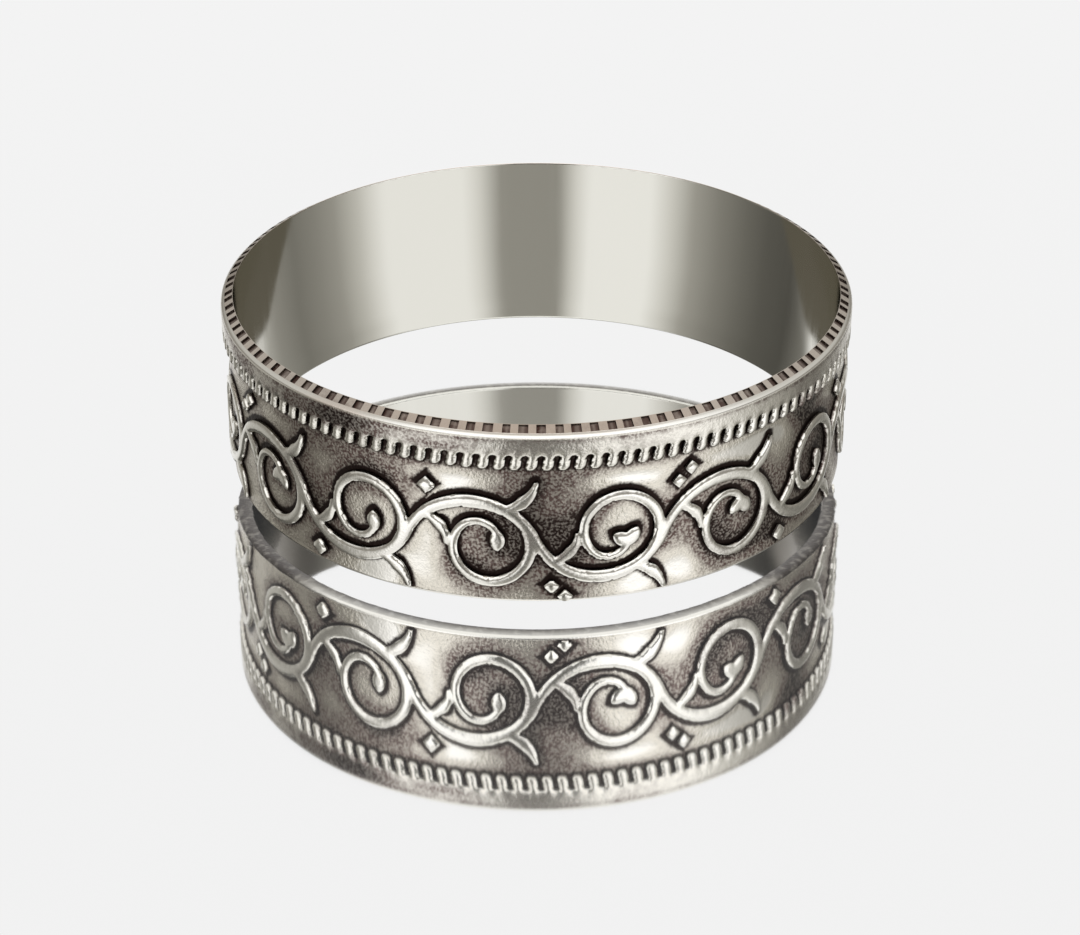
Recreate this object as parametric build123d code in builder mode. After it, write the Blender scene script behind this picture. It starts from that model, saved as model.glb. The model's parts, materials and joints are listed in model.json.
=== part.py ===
from build123d import *
import math
import os

os.makedirs("parts", exist_ok=True)

# A silver coin ring, lying on its plain lower edge. Millimetres.
# The origin is on the ring's axis in the plane of the lower edge, and +Z is the ring's axis.
# Seen from the front, -Y faces the viewer and +X is to the right.

# Finger hole and walls
bore_radius = 9.90  # a ring of 19.8 mm inner diameter
field_wall = 0.50  # wall behind the recessed field
rim_rise = 0.18  # how far the rim stands out from the field
ring_height = 6.22
bore_mouth_flare = 0.26  # how far the hole opens towards the reeded edge
bore_mouth_height = 1.80  # how much of the height the opening takes

# Edges
lower_edge_outside = 0.08  # chamfer of the lower edge
lower_edge_inside = 0.05
reeded_edge_height = 0.18  # drop of the sloping top edge
corner_height = 0.14  # blunt corner between the top edge and the rim band
corner_inset = 0.10  # how far the corner draws in from the rim band
rim_band_height = 0.47
dentil_height = 0.59

# Dentils: small tongues that hang from the rim band, with a notch between each two
dentil_count = 132
notch_width = 0.25
notch_floor = 0.03  # metal left on the field's ground behind a notch

# Reeding on the sloping top edge
reed_count = 120
reed_width = 0.29
reed_depth = 0.06
reed_end = 0.05  # plain stretch between a groove's end and the corner

# Running scroll: a waved stem with a curled tendril under each crest and over each trough
scroll_periods = 8
relief_height = 0.16
relief_root = 0.10  # how deep the relief is rooted in the wall
scroll_rise = 1.35  # the stem's swing up and down from its middle line
scroll_middle = 2.25  # height of the stem's middle line
scroll_clearance = 0.12  # kept clear under the dentils and over the lower edge
stem_width = 0.38
stem_neck = 0.63  # share of its width that the stem keeps between a crest and a trough
tendril_width = 0.30
leaf_width = 0.34

field_radius = bore_radius + field_wall
rim_radius = field_radius + rim_rise
mouth_radius = bore_radius + bore_mouth_flare
relief_radius = field_radius + relief_height
corner_radius = rim_radius - corner_inset
corner_top = ring_height - reeded_edge_height
corner_foot = corner_top - corner_height
rim_foot = corner_foot - rim_band_height
field_top = rim_foot - dentil_height
mouth_foot = ring_height - bore_mouth_height

scroll_pitch = math.pi * field_radius / scroll_periods  # one crest or one trough
stem_radius = ((scroll_pitch / 2) ** 2 + scroll_rise**2) / (2 * scroll_rise)
stem_turn = math.degrees(math.asin(min(1, scroll_pitch / 2 / stem_radius)))
if scroll_rise > scroll_pitch / 2:
    stem_turn = 180 - stem_turn

# Curves of one crest. Each starts on the stem, at_deg past the top, and leaves it turned by off_deg.
# A step is an arc: its radius as a share of the pitch, its turn in degrees (left is positive), and
# the width it ends with as a share of the curve's own width. Tip is the width it starts with.
curve_table = {
    "tendril": {
        "at_deg": 36,
        "off_deg": 0,
        "width": tendril_width,
        "tip": 1.00,
        "steps": [(0.328, -125, 0.93), (0.284, -150, 0.67), (0.162, -120, 0.53)],
    },
    "outer_leaf": {
        "at_deg": 26,
        "off_deg": 30,
        "width": leaf_width,
        "tip": 0.45,
        "steps": [(0.269, 38, 1.05), (0.318, 34, 0.24)],
    },
    "inner_leaf": {
        "at_deg": -44,
        "off_deg": -62,
        "width": leaf_width,
        "tip": 0.41,
        "steps": [(0.318, -30, 0.94), (0.171, -50, 0.24)],
    },
}
# Almond-shaped buds at the tendril's end, in shares of the pitch, and how far each turns off it
bud_length = 0.17
bud_width = 0.10
bud_root = 0.20  # share of a bud's length that overlaps the tendril
single_bud = (-20,)
split_bud = (-75, 15)
# Lozenges over the stem's rising side: across, up and half diagonal, in shares of the pitch
single_lozenge = [(-0.348, 0.421, 0.066)]
double_lozenge = [(-0.284, 0.490, 0.052), (-0.387, 0.397, 0.052)]


def stem_point(at_deg):
    """Point of the crest's stem, at_deg past its top, from the crest's middle."""
    at = math.radians(at_deg)
    return (
        stem_radius * math.sin(at),
        scroll_rise - stem_radius + stem_radius * math.cos(at),
    )


def walk(start, heading, width, steps):
    """Stations along a chain of tangent arcs, at each arc's start, middle and end."""
    stations = [(start[0], start[1], heading, width)]
    for radius, turn, end_width in steps:
        half_chord = 2 * radius * math.sin(math.radians(abs(turn) / 4))
        middle_width = (stations[-1][3] + end_width) / 2
        for wide in (middle_width, end_width):
            across, up, angle, _ = stations[-1]
            ahead = math.radians(angle + turn / 4)
            across += half_chord * math.cos(ahead)
            up += half_chord * math.sin(ahead)
            stations.append((across, up, angle + turn / 2, wide))
    return stations


def add_curve(start, heading, width, tip, steps, side):
    """A tapering curve with pointed ends, as one face. Side -1 turns it over."""
    steps = [(radius, turn, share * width) for radius, turn, share in steps]
    stations = walk(start, heading, tip * width, steps)
    left, right = [], []
    for across, up, angle, wide in stations:
        normal = math.radians(angle + 90)
        shift = (wide / 2 * math.cos(normal), wide / 2 * math.sin(normal))
        left.append((across + shift[0], side * (up + shift[1])))
        right.append((across - shift[0], side * (up - shift[1])))
    points = []
    for (across, up, angle, wide), reach in ((stations[-1], 0.5), (stations[0], -0.5)):
        ahead = math.radians(angle)
        point = (across + reach * wide * math.cos(ahead), up + reach * wide * math.sin(ahead))
        points.append((point[0], side * point[1]))
    with BuildLine() as outline:
        for index in range(0, len(left) - 2, 2):
            ThreePointArc(*left[index : index + 3])
            ThreePointArc(*right[index : index + 3])
        Polyline(left[-1], points[0], right[-1])
        Polyline(left[0], points[1], right[0])
    make_face(outline.edges())
    return stations[-1][:3]


def add_bud(start, heading, side):
    """An almond-shaped bud that grows from its start along its heading, as one face of two arcs."""
    ahead = math.radians(heading)
    length, half_width = bud_length * scroll_pitch, bud_width * scroll_pitch / 2

    def place(along, aside):
        across = start[0] + along * math.cos(ahead) - aside * math.sin(ahead)
        up = start[1] + along * math.sin(ahead) + aside * math.cos(ahead)
        return (across, side * up)

    foot, tip = place(-bud_root * length, 0), place((1 - bud_root) * length, 0)
    with BuildLine() as outline:
        for flank in (half_width, -half_width):
            ThreePointArc(foot, place((0.5 - bud_root) * length, flank), tip)
    make_face(outline.edges())


def add_crest(side, bud_turns, lozenges):
    """One crest of the scroll (side 1), or one trough (side -1), about its middle."""
    stem_steps = [(stem_radius, -stem_turn, 1.0), (stem_radius, -stem_turn, stem_neck)]
    stem_start = (-scroll_pitch / 2, 0)
    add_curve(stem_start, stem_turn, stem_width, stem_neck, stem_steps, side)
    for name, row in curve_table.items():
        steps = [(radius * scroll_pitch, turn, share) for radius, turn, share in row["steps"]]
        heading = row["off_deg"] - row["at_deg"]
        start = stem_point(row["at_deg"])
        end = add_curve(start, heading, row["width"], row["tip"], steps, side)
        if name == "tendril":
            for turn in bud_turns:
                add_bud(end, end[2] + turn, side)
    for across, up, half in lozenges:
        with Locations((across * scroll_pitch, side * up * scroll_pitch)):
            RegularPolygon(half * scroll_pitch, 4)


def tangent_plane(angle, radius, height):
    """A plane that faces outwards at an angle round the ring, with its own Y upwards."""
    outward = (math.cos(math.radians(angle)), math.sin(math.radians(angle)), 0)
    along = (-outward[1], outward[0], 0)
    origin = (radius * outward[0], radius * outward[1], height)
    return Plane(origin=origin, x_dir=along, z_dir=outward)


# The shell that the relief is cut from
with BuildPart() as relief_shell:
    with BuildSketch(Plane.XZ):
        with BuildLine():
            Polyline(
                (field_radius - relief_root, scroll_clearance),
                (relief_radius, scroll_clearance),
                (relief_radius, field_top - scroll_clearance),
                (field_radius - relief_root, field_top - scroll_clearance),
                close=True,
            )
        make_face()
    revolve(axis=Axis.Z)

# Two kinds of period, each a crest and a trough, as relief that faces the front.
# Their sketches stand deep enough behind the field for the ends of a crest to reach its ground.
half_angle = 180 / scroll_periods
sketch_radius = (field_radius - relief_root) * math.cos(math.radians(half_angle))
front = -90
periods = []
for halves in (
    ((1, single_bud, single_lozenge), (-1, split_bud, double_lozenge)),
    ((1, split_bud, double_lozenge), (-1, single_bud, single_lozenge)),
):
    with BuildPart() as period_relief:
        for step, (side, bud_turns, lozenges) in enumerate(halves):
            angle = front + (step - 0.5) * half_angle
            plane = tangent_plane(angle, sketch_radius, scroll_middle)
            with BuildSketch(plane):
                add_crest(side, bud_turns, lozenges)
            extrude(amount=2 * (relief_radius - sketch_radius))
        add(relief_shell.part, mode=Mode.INTERSECT)
    periods.append(period_relief.part)

# One notch between two dentils, with radial sides
notch_turn = math.degrees(notch_width / rim_radius)
with BuildPart() as notch:
    with BuildSketch(Plane.XZ):
        with BuildLine():
            Polyline(
                (field_radius + notch_floor, field_top - notch_floor),
                (2 * rim_radius - field_radius, field_top - notch_floor),
                (2 * rim_radius - field_radius, rim_foot),
                (field_radius + notch_floor, rim_foot),
                close=True,
            )
        make_face()
    revolve(axis=Axis.Z, revolution_arc=notch_turn)

# One groove of the reeding, across the sloping top edge
reed_turn = math.degrees(reed_width / corner_radius)
slope = reeded_edge_height / (corner_radius - mouth_radius)
reed_outside = corner_radius - reed_end
reed_inside = mouth_radius - bore_mouth_flare / 2
with BuildPart() as reed_groove:
    with BuildSketch(Plane.XZ):
        with BuildLine():
            Polyline(
                (reed_inside, ring_height - (reed_inside - mouth_radius) * slope - reed_depth),
                (reed_outside, ring_height - (reed_outside - mouth_radius) * slope - reed_depth),
                (reed_outside, ring_height + reed_depth),
                (reed_inside, ring_height + reed_depth),
                close=True,
            )
        make_face()
    revolve(axis=Axis.Z, revolution_arc=reed_turn)

# The ring
with BuildPart() as ring_band:
    with BuildSketch(Plane.XZ):
        with BuildLine():
            Polyline(
                (mouth_radius, ring_height),
                (bore_radius, mouth_foot),
                (bore_radius, lower_edge_inside),
                (bore_radius + lower_edge_inside, 0),
                (field_radius - lower_edge_outside, 0),
                (field_radius, lower_edge_outside),
                (field_radius, field_top),
                (rim_radius, field_top),
                (rim_radius, corner_foot),
                (corner_radius, corner_top),
                close=True,
            )
        make_face()
    revolve(axis=Axis.Z)
    with PolarLocations(0, dentil_count):
        add(notch.part, mode=Mode.SUBTRACT)
    with PolarLocations(0, reed_count):
        add(reed_groove.part, mode=Mode.SUBTRACT)
    for index in range(scroll_periods):
        with Locations(Rotation(0, 0, index * 2 * half_angle)):
            add(periods[index % len(periods)])

ring_band.part.label = "ring_band"
export_step(ring_band.part, "parts/ring_band.step")
print("ring_band volume", round(ring_band.part.volume, 1), "mm3")
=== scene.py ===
import json
import math
from types import SimpleNamespace

import bmesh
import bpy
import numpy as np
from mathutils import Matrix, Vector


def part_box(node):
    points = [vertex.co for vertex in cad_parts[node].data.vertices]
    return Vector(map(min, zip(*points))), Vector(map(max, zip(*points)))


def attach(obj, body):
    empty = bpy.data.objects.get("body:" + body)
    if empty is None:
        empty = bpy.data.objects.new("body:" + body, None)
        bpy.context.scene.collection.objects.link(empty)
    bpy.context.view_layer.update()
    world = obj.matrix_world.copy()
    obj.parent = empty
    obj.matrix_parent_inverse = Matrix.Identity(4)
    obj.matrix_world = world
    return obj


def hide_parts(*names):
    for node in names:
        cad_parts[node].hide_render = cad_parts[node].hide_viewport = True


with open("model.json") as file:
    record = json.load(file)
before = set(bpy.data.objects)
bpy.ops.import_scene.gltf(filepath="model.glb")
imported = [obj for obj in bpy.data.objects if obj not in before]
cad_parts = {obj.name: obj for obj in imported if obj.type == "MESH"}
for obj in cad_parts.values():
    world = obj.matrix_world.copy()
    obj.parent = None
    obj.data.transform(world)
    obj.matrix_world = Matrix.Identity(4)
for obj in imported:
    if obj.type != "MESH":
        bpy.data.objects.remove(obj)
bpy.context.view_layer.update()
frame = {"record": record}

mm = 0.001
ringNode = "ring_band"
_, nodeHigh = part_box(ringNode)
fingerBore = next(mount for mount in frame["record"]["mounts"] if mount["name"] == "finger_bore")

# ring band: the main sizes come from the frame
band = {
    "boreRadius": fingerBore["dims"]["r_mm"] * mm,
    "rimRadius": nodeHigh.x,
    "height": nodeHigh.z,
    "rimRise": 0.18 * mm,
    "mouthFlare": 0.26 * mm,
    "taperHeight": 5.2 * mm,    # the hole widens evenly over this much of the height
    "lowerLip": 0.11 * mm,      # rounding of the lower edge
    "lowerInside": 0.05 * mm,
    "edgeDrop": 0.18 * mm,      # fall of the reeded top edge
    "cornerHeight": 0.14 * mm,
    "cornerInset": 0.10 * mm,
    "rimBandHeight": 0.47 * mm,
    "rimRows": 3,
    "lipDegrees": (0, 22, 44, 64, 80),  # where the rows round the lower edge stand
    "fieldRows": 59,
    "dentilRows": 11,
    "finestMargin": 0.06 * mm,  # the dentils' fine rows reach this far past the notches
    # how far the corner's rows are drawn in, and how far they stand above its foot or its top
    "cornerRows": [(0.006 * mm, 0.03 * mm), (0.040 * mm, 0.09 * mm)],
    "cornerTopRow": (0.010 * mm, 0.004 * mm),
    "mouthRound": (0.012 * mm, 0.014 * mm),     # rounding of the mouth's edge, out and down
    "taperRows": 3,
    "boreRows": 2,
    "edgeRow": 0.04 * mm,       # narrow rows that keep the shading flat up to an edge
    "groundDrop": 0.004 * mm,   # the field's ground lies this much under its radius
    "swell": 0.010 * mm,        # and is this uneven
    "sharpDegrees": 48,
    "sectors": 12,
    "weld": 0.002 * mm,
}

# dentils: tongues that hang from the rim, with a leaning notch between each two
dentil = {
    "count": 132,
    "columns": 7,               # columns of faces a dentil
    "height": 0.59 * mm,
    "notchWidth": 0.205 * mm,
    "notchDrop": 0.13 * mm,     # how far under the rim a notch ends
    "tipDrop": 0.05 * mm,       # how far the tongues' tips hang under the field's top
    "notchRound": 0.06 * mm,
    "footShare": 0.68,          # a notch's width at its foot, as a share of its width at the top
    "lean": 0.10 * mm,          # how far a notch's top stands to the right of its foot
    "tipRound": 0.16 * mm,
    "edgeShare": 0.66,          # height of a tongue's shoulder, as a share of the rise
    "roundOver": 0.12 * mm,
}

# reeding on the sloping top edge
reed = {
    "count": 120,
    "width": 0.29 * mm,
    "depth": 0.06 * mm,
    "mouthLip": 0.015 * mm,     # plain strips kept at the mouth and beside the corner
    "cornerLip": 0.025 * mm,
    "rows": 2,
    "middle": (2, -1),          # columns of faces from a groove's two sides to its middle
    "sideDirt": 0.97,           # dirt at a groove's sides, in its middle and on the metal between
    "middleDirt": 0.78,
    "topDirt": 0.10,
    "unevenDirt": 0.16,         # how much less of it lies in the cleanest grooves
    "shift": 0.035 * mm,        # grooves are this much out of place, and wider or narrower
}

# running scroll: the same walk of arcs as the solid's relief
scroll = {
    "halves": 16,
    "startDeg": -112.5,         # where the first crest begins, round from +X
    "rise": 1.35 * mm,
    "middle": 2.25 * mm,
    "stemWidth": 0.38 * mm,
    "stemNeck": 0.63,
    "height": 0.16 * mm,
    "wear": (0.93, 0.07),       # share of the height that is left, and how much that differs
    "swell": 0.03 * mm,         # strokes spread a little at their foot
    "edgeShare": 0.66,
    "roundOver": 0.12 * mm,
    "budLength": 0.17,          # buds in shares of the pitch
    "budWidth": 0.10,
    "budRoot": 0.20,
    # at: degrees past the stem's top; off: turn off the stem
    # steps: radius in pitches, turn, end width
    "curves": {
        "tendril": {"at": 36, "off": 0, "width": 0.30 * mm, "tip": 1.00,
                    "steps": [(0.328, -125, 0.93), (0.284, -150, 0.67), (0.162, -120, 0.53)]},
        "outerLeaf": {"at": 26, "off": 30, "width": 0.34 * mm, "tip": 0.45,
                      "steps": [(0.269, 38, 1.05), (0.318, 34, 0.24)]},
        "innerLeaf": {"at": -44, "off": -62, "width": 0.34 * mm, "tip": 0.41,
                      "steps": [(0.318, -30, 0.94), (0.171, -50, 0.24)]},
    },
    # buds by the turn of each, and lozenges by across, up and half diagonal in pitches
    "plain": {"buds": (-20,), "lozenges": [(-0.348, 0.421, 0.066)]},
    "split": {"buds": (-75, 15), "lozenges": [(-0.284, 0.490, 0.052), (-0.387, 0.397, 0.052)]},
    # one row a half: side 1 is a crest, -1 a trough
    "rows": [(1, "plain"), (-1, "split"), (1, "split"), (-1, "plain")],
}

# dark tarnish and worn patches, one of them a painted highlight: degrees round from the front
# towards +X, height in mm, half widths in degrees and mm, strength
tarnish = {
    "patches": [
        (-66, 3.2, 24, 3.5, -0.10), (-58, 2.2, 5, 1.1, 0.30), (-44, 2.6, 6, 1.1, 0.75),
        (-44, 5.5, 10, 0.35, 0.60), (-42, 4.5, 7, 0.5, 0.40), (-40, 1.6, 4, 0.9, 0.45),
        # the worn patch at -28 degrees and 0.7 mm is a painted highlight
        (-35, 5.6, 7, 0.35, 1.20), (-28, 0.7, 8, 0.7, -1.10), (-30, 3.9, 7, 0.7, 1.00),
        (-17, 5.5, 5, 0.2, 0.50), (-14, 4.0, 6, 0.7, -0.80), (-12, 1.1, 4, 0.7, 1.00),
        (-22, 2.4, 7, 1.1, -0.55), (15, 2.4, 4, 1.2, -0.55), (66, 2.6, 7, 1.4, 0.85),
        (46, 4.3, 6, 0.6, -0.70), (66, 4.4, 5, 0.5, -0.50), (-64, 5.6, 6, 0.3, 0.50),
        (78, 1.0, 6, 0.8, 0.40), (-4, 2.6, 6, 1.3, 1.40), (1, 4.3, 6, 0.4, 0.60),
        (5, 2.0, 4, 1.3, 1.20), (10, 3.2, 4, 0.7, 0.45),
        (16, 4.2, 7, 0.5, -0.65), (20, 0.7, 9, 0.6, -1.00),
        (23, 2.3, 4, 1.0, 0.70), (33, 1.5, 4, 0.9, 1.10), (37, 4.3, 11, 0.7, -0.60),
        (42, 0.9, 8, 0.7, 1.10), (44, 2.4, 5, 1.0, 0.60), (56, 4.5, 6, 0.6, 1.20),
        (58, 2.4, 9, 1.5, 0.60), (38, 5.6, 9, 0.3, -0.35), (76, 4.0, 7, 1.0, -0.40),
        (88, 2.0, 8, 1.0, 0.50), (97, 4.5, 8, 0.6, 0.80), (112, 2.4, 7, 1.1, 0.60),
        (124, 4.4, 9, 0.5, 0.70), (131, 1.2, 7, 0.8, -0.40), (140, 5.4, 10, 0.3, 0.70),
        (149, 2.8, 7, 1.0, 0.65), (163, 4.3, 8, 0.6, 0.60), (172, 1.4, 7, 0.9, 0.70),
        (-176, 3.2, 6, 0.9, 0.50), (-168, 4.6, 8, 0.5, 0.80), (-158, 1.8, 7, 1.0, 0.60),
        (-149, 5.5, 10, 0.3, 0.65), (-143, 3.4, 6, 0.9, -0.40), (-134, 4.4, 8, 0.6, 0.75),
        (-125, 1.6, 7, 0.9, 0.60), (-114, 3.2, 7, 1.0, 0.55), (-103, 4.6, 8, 0.5, 0.75),
        (-98, 1.3, 7, 0.8, 0.50),
    ],
    "everywhere": 0.04,
    "onRelief": 0.20,           # share of it that stays on the worn tops of the scroll
    "near": 0.36 * mm,          # more tarnish this close to a stroke
    "nearMore": 0.85,
    "wornEdgeAndHighlight": 0.45,           # brightness of the tongues' and the corner's worn edges, with a painted highlight
    "wearAndHighlightWidth": 0.05 * mm,
    "tongueWearAndHighlight": 0.75,           # share of that wear and painted highlight all over a tongue, fading in over this height
    "tongueFade": 0.12 * mm,
    "creaseOver": 0.15 * mm,    # width of the black dirt and painted shadow over a stroke, and under it
    "creaseUnder": 0.02 * mm,
    "creaseFade": 0.11 * mm,
    "creaseTilt": -0.30,        # the dirt and painted shadow lie over and to the left
    "underShade": 0.90,        # painted shade under the ring, at the lower edge's inner side
    "lipHighlight": 0.50,            # painted highlight on the lower edge's rounding at the front and back
    "lipShade": 0.96,            # and painted shade on it at the two sides
    "lipChange": (0.62, 0.17),  # where the one begins, and how long the change takes
    "notchFade": (0.20 * mm, 0.35),     # how dirt and painted shade come in up a notch, and their share at the foot
    "notchSideDirtAndShade": 0.10,          # dirt and painted shade on the sides of a notch
    "sideWidth": 0.01 * mm,
    "onRim": 0.22,
    "rimRelief": 0.6,           # how far the rim's tops are finished as the scroll's are
    "rimTop": 0.30,             # brown line where the rim meets the corner
}

fieldRadius = band["rimRadius"] - band["rimRise"]
mouthRadius = band["boreRadius"] + band["mouthFlare"]
cornerRadius = band["rimRadius"] - band["cornerInset"]
cornerTop = band["height"] - band["edgeDrop"]
cornerFoot = cornerTop - band["cornerHeight"]
rimFoot = cornerFoot - band["rimBandHeight"]
fieldTop = rimFoot - dentil["height"]
notchTop = rimFoot - dentil["notchDrop"]
tipFoot = fieldTop - dentil["tipDrop"]
columns = dentil["count"] * dentil["columns"]   # of faces round the ring
columnTurn = 2 * math.pi / columns
scroll["pitch"] = 2 * math.pi * fieldRadius / scroll["halves"]
scroll["stemRadius"] = ((scroll["pitch"] / 2) ** 2 + scroll["rise"] ** 2) / (2 * scroll["rise"])
scroll["stemTurn"] = math.degrees(math.asin(scroll["pitch"] / 2 / scroll["stemRadius"]))


# outlines of what is raised, as distances on the unrolled wall: below zero is inside
def smoothMin(a, b, reach):
    blend = np.maximum(reach - np.abs(a - b), 0) / reach
    return np.minimum(a, b) - blend ** 2 * reach / 4


def walkArcs(start, headingDeg, width, steps):
    # the arcs of one tapering curve, and where and how it ends
    arcs, point, heading = [], np.array(start), math.radians(headingDeg)
    for radius, turnDeg, endWidth in steps:
        sweep = math.radians(turnDeg)
        toCentre = math.copysign(radius, sweep) * np.array([-math.sin(heading), math.cos(heading)])
        firstAngle = math.atan2(-toCentre[1], -toCentre[0])
        centre = point + toCentre
        arcs.append((centre, radius, firstAngle, sweep, width, endWidth))
        lastAngle = firstAngle + sweep
        point = centre + radius * np.array([math.cos(lastAngle), math.sin(lastAngle)])
        heading += sweep
        width = endWidth
    return arcs, point, math.degrees(heading)


def arcDistance(across, up, arc):
    centre, radius, firstAngle, sweep, startWidth, endWidth = arc
    dx, dy = across - centre[0], up - centre[1]
    turned = np.mod((np.arctan2(dy, dx) - firstAngle) * math.copysign(1, sweep), 2 * math.pi)
    share = turned / abs(sweep)
    halfWidth = (startWidth + (endWidth - startWidth) * np.clip(share, 0, 1)) / 2
    distance = np.where(share <= 1, np.abs(np.hypot(dx, dy) - radius) - halfWidth, 1.0)
    for angle, width in ((firstAngle, startWidth), (firstAngle + sweep, endWidth)):
        endX, endY = centre + radius * np.array([math.cos(angle), math.sin(angle)])
        distance = np.minimum(distance, np.hypot(across - endX, up - endY) - width / 2)
    return distance


def budDistance(across, up, start, headingDeg):
    # an almond of two arcs
    ahead = math.radians(headingDeg)
    length = scroll["budLength"] * scroll["pitch"]
    halfWidth = scroll["budWidth"] * scroll["pitch"] / 2
    middle = (0.5 - scroll["budRoot"]) * length
    dx, dy = across - start[0], up - start[1]
    along = dx * math.cos(ahead) + dy * math.sin(ahead) - middle
    aside = np.abs(dy * math.cos(ahead) - dx * math.sin(ahead))
    radius = ((length / 2) ** 2 + halfWidth ** 2) / (2 * halfWidth)
    return np.hypot(along, aside + radius - halfWidth) - radius


def halfDistance(across, up, ends):
    # one crest of the scroll, or a trough turned over, about its middle
    pitch, stemRadius, stemTurn = scroll["pitch"], scroll["stemRadius"], scroll["stemTurn"]
    neck = scroll["stemNeck"] * scroll["stemWidth"]
    stemSteps = [(stemRadius, -stemTurn, scroll["stemWidth"]), (stemRadius, -stemTurn, neck)]
    arcs, _, _ = walkArcs((-pitch / 2, 0.0), stemTurn, neck, stemSteps)
    distance = np.full(np.shape(across), 1.0)
    for name, curve in scroll["curves"].items():
        at = math.radians(curve["at"])
        start = (stemRadius * math.sin(at), scroll["rise"] - stemRadius + stemRadius * math.cos(at))
        width, heading = curve["width"], curve["off"] - curve["at"]
        steps = [(radius * pitch, turn, share * width) for radius, turn, share in curve["steps"]]
        branch, end, endHeading = walkArcs(start, heading, curve["tip"] * width, steps)
        arcs += branch
        if name == "tendril":
            for turn in ends["buds"]:
                distance = np.minimum(distance, budDistance(across, up, end, endHeading + turn))
    for arc in arcs:
        distance = np.minimum(distance, arcDistance(across, up, arc))
    for x, y, half in ends["lozenges"]:
        lozenge = np.abs(across - x * pitch) + np.abs(up - y * pitch) - half * pitch
        distance = np.minimum(distance, lozenge / math.sqrt(2))
    return distance


def scrollDistance(angle, height):
    halfTurn = 2 * math.pi / scroll["halves"]
    repeat = len(scroll["rows"])
    along = np.mod(angle - math.radians(scroll["startDeg"]), repeat * halfTurn) / halfTurn
    distance = np.full(np.shape(angle), 1.0)
    for number in range(-1, repeat + 1):
        turnedUp, ends = scroll["rows"][number % repeat]
        across = (along - number - 0.5) * scroll["pitch"]
        near = np.abs(across) < scroll["pitch"]
        up = turnedUp * (height - scroll["middle"])
        half = halfDistance(across[near], up[near], scroll[ends])
        distance[near] = np.minimum(distance[near], half)
    return distance


def rimDistance(angle, height):
    # the rim and its tongues: all that is neither field nor notch
    pitch = 2 * math.pi / dentil["count"]
    halfWidth = dentil["notchWidth"] / 2
    middle = halfWidth / band["rimRadius"]
    across = (np.mod(angle - middle + pitch / 2, pitch) - pitch / 2) * band["rimRadius"]
    share = np.clip((height - tipFoot) / (notchTop - tipFoot), 0, 1)
    wide = halfWidth * (dentil["footShare"] + (1 - dentil["footShare"]) * share)
    aside = np.abs(across - dentil["lean"] * (share - 0.5)) - wide + dentil["notchRound"]
    over = height - notchTop + dentil["notchRound"]
    notch = np.hypot(np.maximum(aside, 0), np.maximum(over, 0))
    notch = notch + np.minimum(np.maximum(aside, over), 0)
    return -smoothMin(height - tipFoot, notch - dentil["notchRound"], dentil["tipRound"])


def raisedDistance(angle, height):
    return np.minimum(rimDistance(angle, height), scrollDistance(angle, height) - scroll["swell"])


# how vertices of the wall's grid are slid onto an outline
fit = {
    "probe": 0.004 * mm,        # the slope of a distance is taken over this step
    "longest": 0.05 * mm,       # slide in one round
    "rounds": 3,
    "leastSteep": 0.2,
}


def fitToOutline(angle, height, freeRows):
    # slides the nearer end of each grid edge that crosses an outline onto it, and gives the side of
    # each vertex: -1 inside, 0 on the outline, 1 outside
    distance = raisedDistance(angle, height)
    right = np.roll(distance, -1, axis=1)
    mark = np.zeros(distance.shape, bool)
    cross = distance * right < 0
    nearer = np.abs(distance) <= np.abs(right)
    mark |= cross & nearer
    mark |= np.roll(cross & ~nearer, 1, axis=1)
    cross = distance[:-1] * distance[1:] < 0
    nearer = np.abs(distance[:-1]) <= np.abs(distance[1:])
    mark[:-1] |= cross & nearer
    mark[1:] |= cross & ~nearer
    mark &= freeRows[:, None]
    probe, longest = fit["probe"], fit["longest"]
    a, h = angle[mark], height[mark]
    for _ in range(fit["rounds"]):
        here = raisedDistance(a, h)
        slopeA = (raisedDistance(a + probe / fieldRadius, h) - here) / probe
        slopeH = (raisedDistance(a, h + probe) - here) / probe
        steep = np.maximum(slopeA ** 2 + slopeH ** 2, fit["leastSteep"])
        step = np.clip(here / steep, -longest, longest)
        a = a - step * slopeA / fieldRadius
        h = h - step * slopeH
    angle[mark], height[mark] = a, h
    side = np.sign(distance).astype(int)
    side[mark] = 0
    return side


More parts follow.
